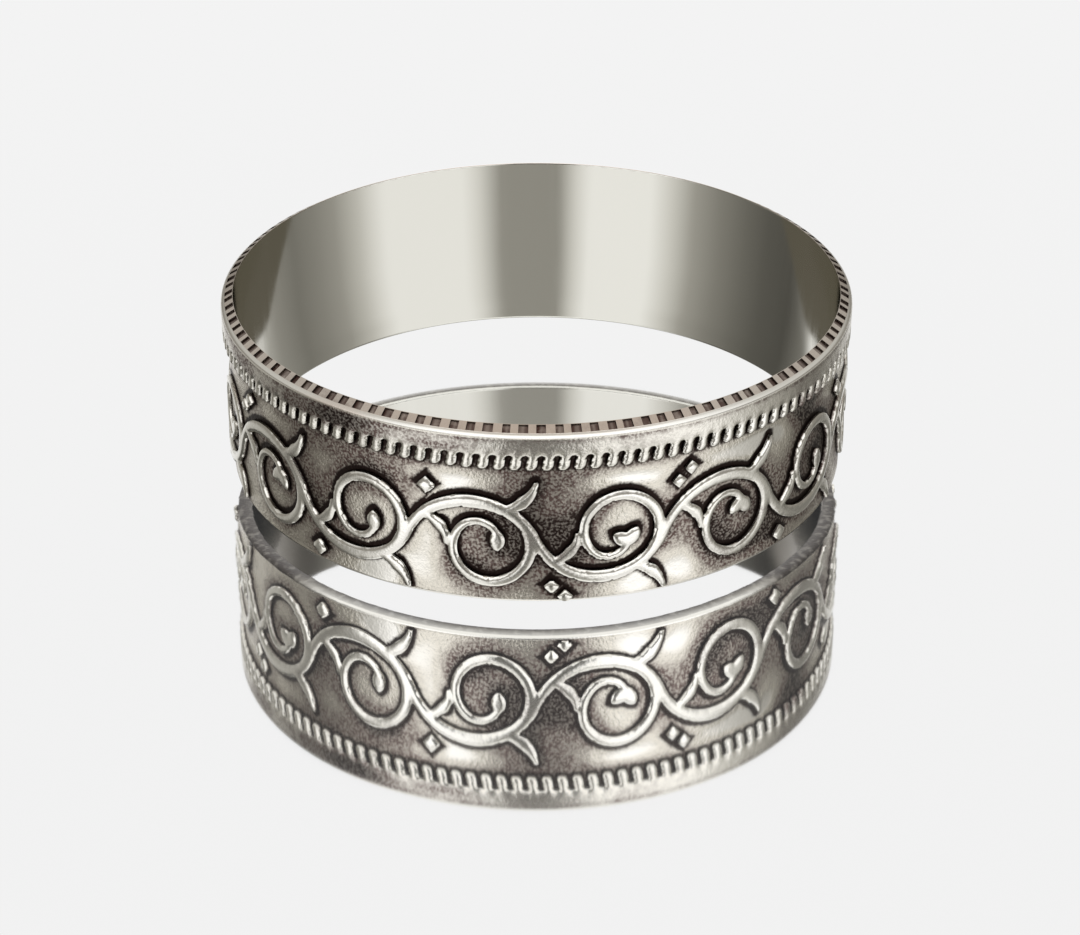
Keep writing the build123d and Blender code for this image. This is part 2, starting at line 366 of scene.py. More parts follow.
# profile, from the lower edge up the outside, over the top and down the bore
def ringProfile():
    rows = [(band["boreRadius"] + band["lowerInside"], 0.0, "under")]
    lip = band["lowerLip"]
    for degrees in band["lipDegrees"]:
        turn = math.radians(degrees)
        rows.append((fieldRadius - lip + lip * math.sin(turn), lip - lip * math.cos(turn), "under"))
    finest = (tipFoot - band["finestMargin"], notchTop + band["finestMargin"])
    for height in np.linspace(lip, finest[0], band["fieldRows"] + 1)[:-1]:
        rows.append((fieldRadius, float(height), "wall"))
    for height in np.linspace(*finest, band["dentilRows"] + 1):
        rows.append((fieldRadius, float(height), "wall"))
    for height in np.linspace(finest[1], cornerFoot - band["edgeRow"], band["rimRows"] + 1)[1:]:
        rows.append((fieldRadius, float(height), "wall"))
    for inset, rise in band["cornerRows"]:
        rows.append((band["rimRadius"] - inset, cornerFoot + rise, "corner"))
    inset, rise = band["cornerTopRow"]
    rows.append((cornerRadius - inset, cornerTop + rise, "corner"))
    slopeFoot = np.array(rows[-1][:2])
    mouthOut, mouthDown = band["mouthRound"]
    slopeTop = np.array([mouthRadius + mouthOut, band["height"]])
    slopeLength = np.linalg.norm(slopeTop - slopeFoot)
    shares = np.linspace(reed["cornerLip"] / slopeLength, 1 - reed["mouthLip"] / slopeLength,
                         reed["rows"] + 2)
    for share in shares:
        rows.append((*(slopeFoot + share * (slopeTop - slopeFoot)), "reeds"))
    rows.append((*slopeTop, "lip"))
    edgeShare = band["edgeRow"] / band["taperHeight"]
    shares = [1, 1 - edgeShare, *np.linspace(1, 0, band["taperRows"] + 1)[1:]]
    for share in shares:
        height = band["height"] - mouthDown - (1 - share) * band["taperHeight"]
        rows.append((band["boreRadius"] + band["mouthFlare"] * share, height, "bore"))
    foot = band["lowerInside"]
    heights = np.linspace(rows[-1][1], foot, band["boreRows"] + 1)[1:-1]
    for height in (*heights, foot + band["edgeRow"], foot):
        rows.append((band["boreRadius"], float(height), "bore"))
    return rows


def tarnishAt(angle, height, distance):
    # how dark the tarnish is; below zero the silver is worn brighter, and one patch is a painted
    # highlight
    amount = np.full(np.shape(angle), tarnish["everywhere"])
    front = np.degrees(angle) + 90
    for degrees, middle, halfDegrees, halfHeight, strength in tarnish["patches"]:
        across = (np.mod(front - degrees + 180, 360) - 180) / halfDegrees
        up = (height / mm - middle) / halfHeight
        amount = amount + strength * np.exp(-across ** 2 - up ** 2)
    return amount + tarnish["nearMore"] * np.exp(-distance / tarnish["near"])


def creaseAt(angle, height, distance, isRim):
    # black dirt and painted shadow beside what is raised, wide over a stroke and narrow under it
    probe = fit["probe"]
    tilt = tarnish["creaseTilt"] * probe / fieldRadius
    slope = np.clip((raisedDistance(angle + tilt, height + probe) - distance) / probe, -1, 1)
    over, under = tarnish["creaseOver"], tarnish["creaseUnder"]
    reach = np.where(isRim, under, under + (over - under) * (1 + slope) / 2)
    return np.exp(-np.maximum(distance - reach, 0) / tarnish["creaseFade"])


def roundedShare(distance, edgeShare, reach):
    inside = np.clip(-distance / reach, 0, 1)
    return edgeShare + (1 - edgeShare) * np.sqrt(1 - (1 - inside) ** 2)


def unrolledGrid():
    # the ring's surface unrolled: a row for each point of the profile, a column for each step round
    profile = ringProfile()
    zones = [zone for _, _, zone in profile]
    wall = [number for number, zone in enumerate(zones) if zone == "wall"]
    return SimpleNamespace(
        profile=profile, zones=zones, first=wall[0], last=wall[-1],
        reeds=[number for number, zone in enumerate(zones) if zone == "reeds"],
        angle=np.tile(np.arange(columns) * columnTurn, (len(profile), 1)),
        radius=np.tile(np.array([row[0] for row in profile])[:, None], (1, columns)),
        height=np.tile(np.array([row[1] for row in profile])[:, None], (1, columns)))


def fitWall(grid):
    # the wall's grid follows the outlines of scroll and dentils
    shape, wall, corner = grid.angle.shape, slice(grid.first, grid.last + 1), grid.last + 1
    grid.side, grid.distance = np.ones(shape, int), np.full(shape, 1.0)
    grid.isRim, grid.crease = np.zeros(shape, bool), np.zeros(shape)
    angle, height = grid.angle[wall], grid.height[wall]
    free = np.ones(len(angle), bool)
    free[[0, -1]] = False
    grid.side[wall] = fitToOutline(angle, height, free)
    grid.distance[wall] = raisedDistance(angle, height)
    grid.isRim[wall] = (rimDistance(angle, height)
                        < scrollDistance(angle, height) - scroll["swell"])
    # the corner's first row carries the rim's face
    grid.side[corner], grid.isRim[corner] = -1, True
    grid.distance[grid.side == 0] = 0
    grid.crease[wall] = creaseAt(angle, height, grid.distance[wall], grid.isRim[wall])


def fitReeds(grid):
    # the reeding's grid follows the grooves' sides, each a little out of place
    grid.grooved, grid.grooveMiddle = np.zeros(columns, bool), np.zeros(columns, bool)
    turn, shift = reed["width"] / cornerRadius, reed["shift"] / cornerRadius
    for number in range(reed["count"]):
        sides = [number * 2 * math.pi / reed["count"] + share * turn
                 + shift * math.sin(number * (2.3 + 0.9 * share) + share) for share in (0, 1)]
        nearest = [round(side / columnTurn) for side in sides]
        for side, column in zip(sides, nearest):
            grid.angle[grid.reeds, column % columns] = side
        grid.grooved[np.arange(*nearest) % columns] = True
        inner = [column + reach for column, reach in zip(nearest, reed["middle"])]
        grid.grooveMiddle[np.arange(*inner) % columns] = True


def spinProfile(grid):
    # each vertex keeps its spot: its row times the number of columns, plus its column
    bm = bmesh.new()
    for key in ("spot", "raised"):
        bm.verts.layers.int.new(key)
    spotLayer = bm.verts.layers.int["spot"]
    ringVerts = []
    for number, (radius, height, _) in enumerate(grid.profile):
        vert = bm.verts.new((radius, 0, height))
        vert[spotLayer] = number * columns
        ringVerts.append(vert)
    edges = [bm.edges.new((a, b)) for a, b in zip(ringVerts, ringVerts[1:] + ringVerts[:1])]
    # one sector is spun, then the sector is repeated and joined into the full turn
    sectors = band["sectors"]
    around = {"cent": (0, 0, 0), "axis": (0, 0, 1), "dvec": (0, 0, 0)}
    bmesh.ops.spin(bm, geom=ringVerts + edges, angle=2 * math.pi / sectors,
                   steps=columns // sectors, use_duplicate=False, **around)
    bmesh.ops.spin(bm, geom=bm.verts[:] + bm.edges[:] + bm.faces[:], steps=sectors - 1,
                   angle=2 * math.pi * (sectors - 1) / sectors, use_duplicate=True, **around)
    bmesh.ops.remove_doubles(bm, verts=bm.verts, dist=band["weld"])
    bmesh.ops.recalc_face_normals(bm, faces=bm.faces)
    for vert in bm.verts:
        vert[spotLayer] += round(math.atan2(vert.co.y, vert.co.x) / columnTurn) % columns
    print("spun", len(bm.verts), "vertices", len(bm.faces), "faces")
    return bm


def rowSpan(spots):
    return min(spots) // columns, max(spots) // columns


def wallFaces(bm, grid):
    # each face of the wall with its corners' spots and sides
    spotLayer = bm.verts.layers.int["spot"]
    for face in list(bm.faces):
        spots = [vert[spotLayer] for vert in face.verts]
        lowest, highest = rowSpan(spots)
        if lowest >= grid.first and highest <= grid.last + 1:
            yield face, spots, [grid.side.flat[spot] for spot in spots]


def splitCrossed(bm, grid):
    # quads that an outline crosses from corner to corner are split along it
    split = 0
    for face, spots, sides in wallFaces(bm, grid):
        if len(spots) == 4 and max(sides) > 0 > min(sides):
            zeros = [vert for vert, side in zip(face.verts, sides) if side == 0]
            if len(zeros) == 2:
                bmesh.utils.face_split(face, zeros[0], zeros[1])
                split += 1
    print("split", split)


def facesInside(bm, grid):
    # faces whose corners are all inside an outline or on it; all on it is settled at the middle
    inside, doubtful, middles = [], [], []
    for face, spots, sides in wallFaces(bm, grid):
        if max(sides) > 0:
            continue
        if min(sides) < 0:
            inside.append(face)
            continue
        angles = np.array([grid.angle.flat[spot] for spot in spots])
        angles = angles[0] + np.mod(angles - angles[0] + math.pi, 2 * math.pi) - math.pi
        doubtful.append(face)
        middles.append((angles.mean(), np.mean([grid.height.flat[spot] for spot in spots])))
    if doubtful:
        a, h = np.array(middles).T
        inside += [face for face, away in zip(doubtful, raisedDistance(a, h)) if away < 0]
    return inside


def setZones(bm, grid):
    # materials by zone, before anything is raised: wall, edge, bore
    spotLayer = bm.verts.layers.int["spot"]
    for face in bm.faces:
        lowest, highest = rowSpan([vert[spotLayer] for vert in face.verts])
        zone = grid.zones[lowest] if highest - lowest <= 1 else "bore"
        face.material_index = {"under": 0, "wall": 0, "bore": 2}.get(zone, 1)
        face.smooth = True


def extrudeMarked(bm, faces, mark):
    # the faces are extruded in place, and their new vertices are marked
    raisedLayer = bm.verts.layers.int["raised"]
    made = bmesh.ops.extrude_face_region(bm, geom=faces)
    newVerts = [item for item in made["geom"] if isinstance(item, bmesh.types.BMVert)]
    for vert in newVerts:
        vert[raisedLayer] = mark
    return newVerts


def raiseOrnament(bm, grid):
    # what is raised is extruded, and its upper edge is joined to the corner's foot
    spotLayer, raisedLayer = (bm.verts.layers.int[key] for key in ("spot", "raised"))
    raisedFaces = facesInside(bm, grid)
    newVerts = extrudeMarked(bm, raisedFaces, 1)
    topRow = grid.last + 1
    top = [vert for vert in bm.verts if vert[spotLayer] // columns == topRow]
    firstOfTop = {vert[spotLayer]: vert for vert in top if vert[raisedLayer] == 0}
    weld = {vert: firstOfTop[vert[spotLayer]] for vert in newVerts
            if vert[spotLayer] // columns == topRow}
    bmesh.ops.delete(bm, geom=raisedFaces, context="FACES")
    bmesh.ops.weld_verts(bm, targetmap=weld)


def sinkGrooves(bm, grid):
    # the grooves of the reeding
    spotLayer = bm.verts.layers.int["spot"]
    grooveFaces = []
    for face in bm.faces:
        spots = [vert[spotLayer] for vert in face.verts]
        lowest, highest = rowSpan(spots)
        if lowest < grid.reeds[0] or highest > grid.reeds[-1]:
            continue
        faceColumns = {spot % columns for spot in spots}
        start = columns - 1 if faceColumns == {0, columns - 1} else min(faceColumns)
        if grid.grooved[start]:
            grooveFaces.append(face)
    extrudeMarked(bm, grooveFaces, 2)
    bmesh.ops.delete(bm, geom=grooveFaces, context="FACES")


def gridPoints(mesh, grid):
    # what the grid says of each vertex of the mesh, and which part of the ring it is on
    spot, raised = np.zeros(len(mesh.vertices), int), np.zeros(len(mesh.vertices), int)
    mesh.attributes["spot"].data.foreach_get("value", spot)
    mesh.attributes["raised"].data.foreach_get("value", raised)
    row, rim, up = spot // columns, grid.isRim.flat[spot], raised == 1
    onWall = (row >= grid.first) & (row <= grid.last)
    return SimpleNamespace(
        angle=grid.angle.flat[spot], radius=grid.radius.flat[spot],
        height=grid.height.flat[spot], distance=grid.distance.flat[spot],
        crease=grid.crease.flat[spot], grooveMiddle=grid.grooveMiddle[spot % columns],
        row=row, rim=rim, field=onWall & ~up, raised=onWall & up, onRim=up & rim,
        onScroll=onWall & up & ~rim, groove=raised == 2, rimTop=row == grid.last,
        onLip=(row > 0) & (row < grid.first),
        onCorner=(row > grid.last) & (row < grid.reeds[0]),
        onReeds=(row >= grid.reeds[0]) & (row <= grid.reeds[-1]))


def placeVertices(mesh, points):
    # from the unrolled wall back onto the ring
    a, r, h = points.angle, points.radius, points.height
    rimShare = roundedShare(points.distance, dentil["edgeShare"], dentil["roundOver"])
    scrollShare = roundedShare(points.distance, scroll["edgeShare"], scroll["roundOver"])
    # slow waves round and up the wall wear the strokes unevenly and swell the field
    kept, differs = scroll["wear"]
    wear = kept + differs * np.sin(3 * a + 1.3) * np.sin(7 * a + h * 900)
    rise = np.where(points.rim, band["rimRise"] * rimShare, scroll["height"] * scrollShare * wear)
    r = np.where(points.raised, fieldRadius + rise, r)
    swell = band["swell"] * np.sin(9 * a + 700 * h) * np.sin(5 * a - 1100 * h + 0.7)
    r = np.where(points.field, r + swell - band["groundDrop"], r)
    slopeTilt = math.atan2(band["edgeDrop"], cornerRadius - mouthRadius)
    r = np.where(points.groove, r - reed["depth"] * math.sin(slopeTilt), r)
    h = np.where(points.groove, h - reed["depth"] * math.cos(slopeTilt), h)
    places = np.stack([r * np.cos(a), r * np.sin(a), h], axis=1).astype(np.float32)
    mesh.vertices.foreach_set("co", places.ravel())
    points.height = h


def atFrontAndBack(angle):
    # 1 at the ring's front and back, 0 at its two sides
    changeFrom, changeOver = tarnish["lipChange"]
    return np.clip((np.abs(np.cos(angle + math.pi / 2)) - changeFrom) / changeOver, 0, 1)


def pocketDirtAndShadeMask(points):
    # dirt and painted shade in the notches, dirt in the reeding's grooves, and painted shade under
    # the ring and at the lower edge's two sides
    fadeHeight, footShare = tarnish["notchFade"]
    # dirt and painted shade, darker deeper up a notch
    notchDirtAndShade = np.clip((points.height - tipFoot) / fadeHeight + footShare, 0, 1)
    pocketDirtAndShade = np.where(points.field, notchDirtAndShade, 0)
    notchSideDirtAndShade = points.onRim & (points.distance > -tarnish["sideWidth"])
    pocketDirtAndShade = np.where(notchSideDirtAndShade, tarnish["notchSideDirtAndShade"] * notchDirtAndShade, pocketDirtAndShade)
    pocketDirtAndShade = np.where(points.onReeds, reed["topDirt"], pocketDirtAndShade)
    inGroove = np.where(points.grooveMiddle, reed["middleDirt"], reed["sideDirt"])
    cleaner = reed["unevenDirt"] * (1 + np.sin(61 * points.angle) * np.sin(7 * points.angle)) / 2
    pocketDirtAndShade = np.where(points.groove, inGroove - cleaner, pocketDirtAndShade)
    # painted shade on the ring's underside
    pocketDirtAndShade = np.where(points.row == 1, tarnish["underShade"] / 2, pocketDirtAndShade)
    # painted shade on the lower edge's rounding at its two sides
    sideShade = tarnish["lipShade"] * (1 - atFrontAndBack(points.angle))
    pocketDirtAndShade = np.where(points.onLip, np.maximum(pocketDirtAndShade, sideShade), pocketDirtAndShade)
    return np.where(points.row == 0, tarnish["underShade"], pocketDirtAndShade)


def tarnishWearAndHighlightMask(points):
    # tarnish, with less of it on the scroll's tops, and silver worn bright at the edges, with a
    # painted highlight there and on the lower edge's front and back
    d, h = points.distance, points.height
    amount = tarnishAt(points.angle, h, np.where(points.field, np.maximum(d, 0), 1))
    onRelief = points.onScroll & (amount > 0)
    amount = np.where(onRelief, tarnish["onRelief"] * amount, amount)
    tongueWearAndHighlight = tarnish["tongueWearAndHighlight"] * np.clip((notchTop - h) / tarnish["tongueFade"] + 0.5, 0, 1)
    atEdge = np.exp(np.minimum(d, 0) / tarnish["wearAndHighlightWidth"])
    wornEdgeAndHighlight = np.where(points.onRim, np.maximum(atEdge, tongueWearAndHighlight), 0)
    wornEdgeAndHighlight = np.where(points.onCorner, 1, wornEdgeAndHighlight)
    amount = amount - tarnish["wornEdgeAndHighlight"] * wornEdgeAndHighlight + np.where(points.onRim, tarnish["onRim"], 0)
    amount = np.where(points.rimTop, amount + tarnish["rimTop"], amount)
    # painted highlight on the lower edge's rounding at the front and back
    lipHighlight = tarnish["lipHighlight"] * atFrontAndBack(points.angle)
    return np.where(points.onLip, -lipHighlight, amount)


def storeMasks(mesh, points):
    # masks for the finish: dirt and painted shadow beside strokes, worn tops, dirt and painted
    # shade in pockets, tarnish with worn spots and painted highlights
    relief = np.where(points.onScroll, 1, np.where(points.onRim, tarnish["rimRelief"], 0))
    masks = {"crease": np.where(points.field, points.crease, 0), "relief": relief,
             "pocketDirtAndShade": pocketDirtAndShadeMask(points), "tarnish": tarnishWearAndHighlightMask(points)}
    for key, values in masks.items():
        layer = mesh.attributes.new(key, "FLOAT", "POINT")
        layer.data.foreach_set("value", np.asarray(values, np.float32))


def buildRing(name, materials):
    grid = unrolledGrid()
    fitWall(grid)
    fitReeds(grid)
    bm = spinProfile(grid)
    splitCrossed(bm, grid)
    setZones(bm, grid)
    raiseOrnament(bm, grid)
    sinkGrooves(bm, grid)
    loose = [vert for vert in bm.verts if not vert.link_faces]
    openEdges = [edge for edge in bm.edges if len(edge.link_faces) != 2]
    print("grooved", "loose", len(loose), "open edges", len(openEdges),
          "volume", bm.calc_volume(signed=True))
    mesh = bpy.data.meshes.new(name)
    bm.to_mesh(mesh)
    bm.free()

    points = gridPoints(mesh, grid)
    placeVertices(mesh, points)
    storeMasks(mesh, points)
    for key in ("spot", "raised"):
        mesh.attributes.remove(mesh.attributes[key])
    for material in materials:
        mesh.materials.append(material)
    mesh.update()
    mesh.set_sharp_from_angle(angle=math.radians(band["sharpDegrees"]))
    piece = bpy.data.objects.new(name, mesh)
    bpy.context.collection.objects.link(piece)
    mesh.calc_loop_triangles()
    print(name, len(mesh.vertices), "vertices", len(mesh.loop_triangles), "triangles")
    return piece


# finishes
def newMaterial(name):
    material = bpy.data.materials.new(name)
    material.use_nodes = True
    nodes, links = material.node_tree.nodes, material.node_tree.links
    return material, nodes, links, nodes["Principled BSDF"]


def newGroup(name, sockets):
    group = bpy.data.node_groups.new(name, "ShaderNodeTree")
    for label, direction, kind in sockets:
        group.interface.new_socket(label, in_out=direction, socket_type=kind)
    return group, group.nodes.new("NodeGroupInput"), group.nodes.new("NodeGroupOutput")


def mathNode(tree, operation, first, second=0.0, clamp=False):
    node = tree.nodes.new("ShaderNodeMath")
    node.operation = operation
    node.use_clamp = clamp
    for socket, value in zip(node.inputs, (first, second)):
        if isinstance(value, bpy.types.NodeSocket):
            tree.links.new(value, socket)
        else:
            socket.default_value = value
    return node.outputs[0]


def rampNode(tree, value, low, high, outLow=0.0, outHigh=1.0):
    node = tree.nodes.new("ShaderNodeMapRange")
    node.interpolation_type = "SMOOTHSTEP"
    tree.links.new(value, node.inputs["Value"])
    labels = ("From Min", "From Max", "To Min", "To Max")
    for label, setting in zip(labels, (low, high, outLow, outHigh)):
        node.inputs[label].default_value = setting
    return node.outputs["Result"]


def mixNode(tree, factor, first, second):
    node = tree.nodes.new("ShaderNodeMix")
    node.data_type = "RGBA"
    node.clamp_factor = True
    tree.links.new(factor, node.inputs["Factor"])
    for socket, value in ((node.inputs[6], first), (node.inputs[7], second)):
        if isinstance(value, bpy.types.NodeSocket):
            tree.links.new(value, socket)
        else:
            socket.default_value = (*value, 1)
    return node.outputs[2]


def noiseNode(tree, grain, detail=2.0, stretch=None):
    # noise whose features are about a grain's size
    place = tree.nodes.new("ShaderNodeTexCoord").outputs["Object"]
    if stretch:
        scaled = tree.nodes.new("ShaderNodeVectorMath")
        scaled.operation = "MULTIPLY"
        tree.links.new(place, scaled.inputs[0])
        scaled.inputs[1].default_value = stretch
        place = scaled.outputs[0]
    node = tree.nodes.new("ShaderNodeTexNoise")
    node.inputs["Scale"].default_value = 1 / grain
    node.inputs["Detail"].default_value = detail
    tree.links.new(place, node.inputs["Vector"])
    return node.outputs[0]


def maskNode(tree, key):
    node = tree.nodes.new("ShaderNodeAttribute")
    node.attribute_name = key
    return node.outputs["Fac"]


silver = {
    # ground, raised parts, dirt (also the colour of painted shade) and depth of the grain, on the
    # wall and on the reeded edge
    "wall": ((0.74, 0.70, 0.62), (0.90, 0.88, 0.82), (0.026, 0.017, 0.015), 0.033 * mm),
    "edge": ((0.87, 0.79, 0.72), (0.86, 0.80, 0.73), (0.075, 0.032, 0.026), 0.008 * mm),
    "tarnish": (0.150, 0.104, 0.094),
    # colour of worn silver and of painted highlights
    "wearAndHighlight": (0.92, 0.90, 0.85),
    "fineGrain": 0.085 * mm,
    "middleGrain": 0.28 * mm,
    "cloud": 1.1 * mm,
    # shares of the grains in the tarnish's outline, the edge of the dirt and painted shade, and the
    # relief of the surface
    "cloudShare": 0.8,
    "middleShare": 0.4,
    "dirtGrain": 0.5,
    "fineRelief": 0.65,
    "middleRelief": 0.5,
    "wornSmooth": 0.8,
    # where a mask begins and is full, and what it gives there
    "stained": (0.62, 1.35),
    "speck": (0.38, 0.60, 0.45, 1.0),
    # the ramp of dirt and painted shade
    "dirtAndShadeRamp": (0.55, 1.15),
    "heavy": (1.4, 2.0),
    "patchy": (0.36, 0.52, 0.82, 1.0),
    # the ramp of worn silver and painted highlights
    "brightWearAndHighlight": (0.0, 0.4),
    "rough": 0.21,
    "wornRough": 0.02,          # less on worn silver
    "darkRough": 0.22,          # more on tarnish, dirt and painted shade
    "bore": (0.85, 0.84, 0.78),
    "marks": 0.25 * mm,
    "marksLong": (1, 1, 0.06),
    "boreRough": (0.3, 0.7, 0.07, 0.11),
    "boreLean": 0.23,
    "leanByFloor": 1.88,        # how much less the lean is for the mirror image
    # painted shade on the mirror image of the bore's two sides
    "boreMirrorShade": (0.23, 0.21, 0.185),
    # by how far the bore's wall stands before or behind the ring's axis: where the lean comes in,
    # and up to where the mirror image is painted dark
    "leanFrom": (1.0 * mm, 3.5 * mm),
    "mirrorShadeUnder": (5.25 * mm, 7.15 * mm),
}


def agedSurface():
    # black dirt and painted shade in the recesses, grainy brown tarnish round the strokes, bright
    # worn tops, and painted highlights
    group, given, result = newGroup("agedSurface", [
        ("Ground", "INPUT", "NodeSocketColor"), ("Raised", "INPUT", "NodeSocketColor"),
        ("DirtAndShade", "INPUT", "NodeSocketColor"),
        ("Color", "OUTPUT", "NodeSocketColor"), ("Roughness", "OUTPUT", "NodeSocketFloat"),
        ("Height", "OUTPUT", "NodeSocketFloat")])
    fine = noiseNode(group, silver["fineGrain"], 3.0)
    middle = noiseNode(group, silver["middleGrain"], 2.0)
    cloud = noiseNode(group, silver["cloud"], 2.0)
    # the tarnish mask: above zero tarnish, below zero worn silver and painted highlights
    amount, relief, pocketDirtAndShade = (maskNode(group, key) for key in ("tarnish", "relief", "pocketDirtAndShade"))
    # tarnish breaks up along the grain
    uneven = mathNode(group, "ADD", mathNode(group, "MULTIPLY", cloud, silver["cloudShare"]),
                      mathNode(group, "MULTIPLY", middle, silver["middleShare"]))
    clouded = mathNode(group, "ADD", amount, uneven)
    speck = rampNode(group, fine, *silver["speck"])
    stained = mathNode(group, "MULTIPLY", rampNode(group, clouded, *silver["stained"]), speck)
    # black dirt with painted shadow beside strokes, and painted shade in pockets and under the ring
    dirtAndShade = mathNode(group, "ADD", maskNode(group, "crease"),
                    mathNode(group, "MULTIPLY", fine, silver["dirtGrain"]))
    dirtAndShade = rampNode(group, dirtAndShade, *silver["dirtAndShadeRamp"])
    heavy = mathNode(group, "MULTIPLY", rampNode(group, clouded, *silver["heavy"]), speck)
    pocketDirtAndShade = mathNode(group, "MULTIPLY", pocketDirtAndShade, rampNode(group, middle, *silver["patchy"]))
    dirtAndShade = mathNode(group, "MAXIMUM", mathNode(group, "MAXIMUM", dirtAndShade, heavy), pocketDirtAndShade, clamp=True)
    # worn silver and painted highlights brighten the colour
    brightWearAndHighlight = rampNode(group, mathNode(group, "MULTIPLY", amount, -1.0), *silver["brightWearAndHighlight"])
    plain = mixNode(group, relief, given.outputs["Ground"], given.outputs["Raised"])
    plain = mixNode(group, brightWearAndHighlight, plain, silver["wearAndHighlight"])
    brown = mixNode(group, stained, plain, silver["tarnish"])
    group.links.new(mixNode(group, dirtAndShade, brown, given.outputs["DirtAndShade"]), result.inputs["Color"])
    wearAndHighlight = mathNode(group, "MAXIMUM", relief, brightWearAndHighlight)
    rough = mathNode(group, "SUBTRACT", silver["rough"],
                     mathNode(group, "MULTIPLY", wearAndHighlight, silver["wornRough"]))
    dark = mathNode(group, "MAXIMUM", stained, dirtAndShade)
    dark = mathNode(group, "MULTIPLY", dark, silver["darkRough"])
    group.links.new(mathNode(group, "ADD", rough, dark), result.inputs["Roughness"])
    grain = mathNode(group, "ADD", mathNode(group, "MULTIPLY", fine, silver["fineRelief"]),
                     mathNode(group, "MULTIPLY", middle, silver["middleRelief"]))
    fade = mathNode(group, "SUBTRACT", 1.0, mathNode(group, "MULTIPLY", wearAndHighlight, silver["wornSmooth"]))
    group.links.new(mathNode(group, "MULTIPLY", grain, fade), result.inputs["Height"])
    return group


def agedMaterial(name, group, ground, raised, dirtAndShade, bump):
    material, nodes, links, shader = newMaterial(name)
    shader.inputs["Metallic"].default_value = 1.0
    surface = nodes.new("ShaderNodeGroup")
    surface.node_tree = group
    surface.inputs["Ground"].default_value = (*ground, 1)
    surface.inputs["Raised"].default_value = (*raised, 1)
    surface.inputs["DirtAndShade"].default_value = (*dirtAndShade, 1)
    links.new(surface.outputs["Color"], shader.inputs["Base Color"])
    links.new(surface.outputs["Roughness"], shader.inputs["Roughness"])
    relief = nodes.new("ShaderNodeBump")
    relief.inputs["Strength"].default_value = 1.0
    relief.inputs["Distance"].default_value = bump
    links.new(surface.outputs["Height"], relief.inputs["Height"])
    links.new(relief.outputs["Normal"], shader.inputs["Normal"])
    return material


def leanBump(nodes, links, shader, axis, slope, sense=None, share=None):
    # an even slope along one axis, as bump: sense turns it over, and share is how much of it shows
    place, parts = nodes.new("ShaderNodeTexCoord"), nodes.new("ShaderNodeSeparateXYZ")
    links.new(place.outputs["Object"], parts.inputs[0])
    relief = nodes.new("ShaderNodeBump")
    relief.inputs["Strength"].default_value = 1.0
    relief.inputs["Distance"].default_value = abs(slope)
    relief.invert = slope < 0
    height = parts.outputs[axis]
    if sense is not None:
        height = mathNode(shader.id_data, "MULTIPLY", height, sense)
    if share is not None:
        links.new(share, relief.inputs["Strength"])
    links.new(height, relief.inputs["Height"])
    links.new(relief.outputs["Normal"], shader.inputs["Normal"])


def boreSilver():
    # smooth, with faint upright marks of polishing
    material, nodes, links, shader = newMaterial("boreSilver")
    shader.inputs["Metallic"].default_value = 1.0
    tree = material.node_tree
    marks = noiseNode(tree, silver["marks"], 2.0, silver["marksLong"])
    links.new(rampNode(tree, marks, *silver["boreRough"]), shader.inputs["Roughness"])
    place, parts = nodes.new("ShaderNodeTexCoord"), nodes.new("ShaderNodeSeparateXYZ")
    links.new(place.outputs["Object"], parts.inputs[0])
    behind = mathNode(tree, "ABSOLUTE", parts.outputs["Y"])
    # the wall mirrors the studio's lower half: its normal leans a little to the lower edge, and for
    # the mirror image to the upper one, but not at its two sides or for a ray that meets it again
    path = nodes.new("ShaderNodeLightPath")
    byFloor = mathNode(tree, "GREATER_THAN", path.outputs["Transparent Depth"], 0.5)
    again = mathNode(tree, "GREATER_THAN", path.outputs["Ray Depth"], 0.5)
    again = mathNode(tree, "MULTIPLY", again, mathNode(tree, "SUBTRACT", 1.0, byFloor))
    turned = mathNode(tree, "MULTIPLY", byFloor, silver["leanByFloor"])
    sense = mathNode(tree, "SUBTRACT", mathNode(tree, "SUBTRACT", 1.0, turned), again)
    share = rampNode(tree, behind, *silver["leanFrom"])
    leanBump(nodes, links, shader, "Z", silver["boreLean"], sense, share)
    # painted shade: the mirror image of its two sides is darkened in colour
    mirrorShade = rampNode(tree, behind, *silver["mirrorShadeUnder"], 1.0, 0.0)
    mirrorShade = mathNode(tree, "MULTIPLY", mirrorShade, byFloor)
    links.new(mixNode(tree, mirrorShade, silver["bore"], silver["boreMirrorShade"]), shader.inputs["Base Color"])
    return material


aged = agedSurface()
wallSilver = agedMaterial("wallSilver", aged, *silver["wall"])
edgeSilver = agedMaterial("edgeSilver", aged, *silver["edge"])
ring = buildRing("coinRing", [wallSilver, edgeSilver, boreSilver()])
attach(ring, "root")
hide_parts(ringNode)

# floor: a clear sheet over a pale mirror that falls away to the back, to put the mirror image where
# the photo has it
floor = {
    "radius": 2.0,
    "segments": 64,
    "sheet": -0.002 * mm,
    "mirrorDepth": 0.61 * mm,
    "fallFrom": -10.0 * mm,     # level before this, falling evenly after the bend
    "bend": 7.0 * mm,
    "bendSteps": 10,
    "fall": 0.044,
    "lean": 0.025,              # the mirrored picture leans this much more
    "silvering": 0.93,
    "rough": 0.04,
    "veil": 0.028,              # faint white over the mirrored picture
}


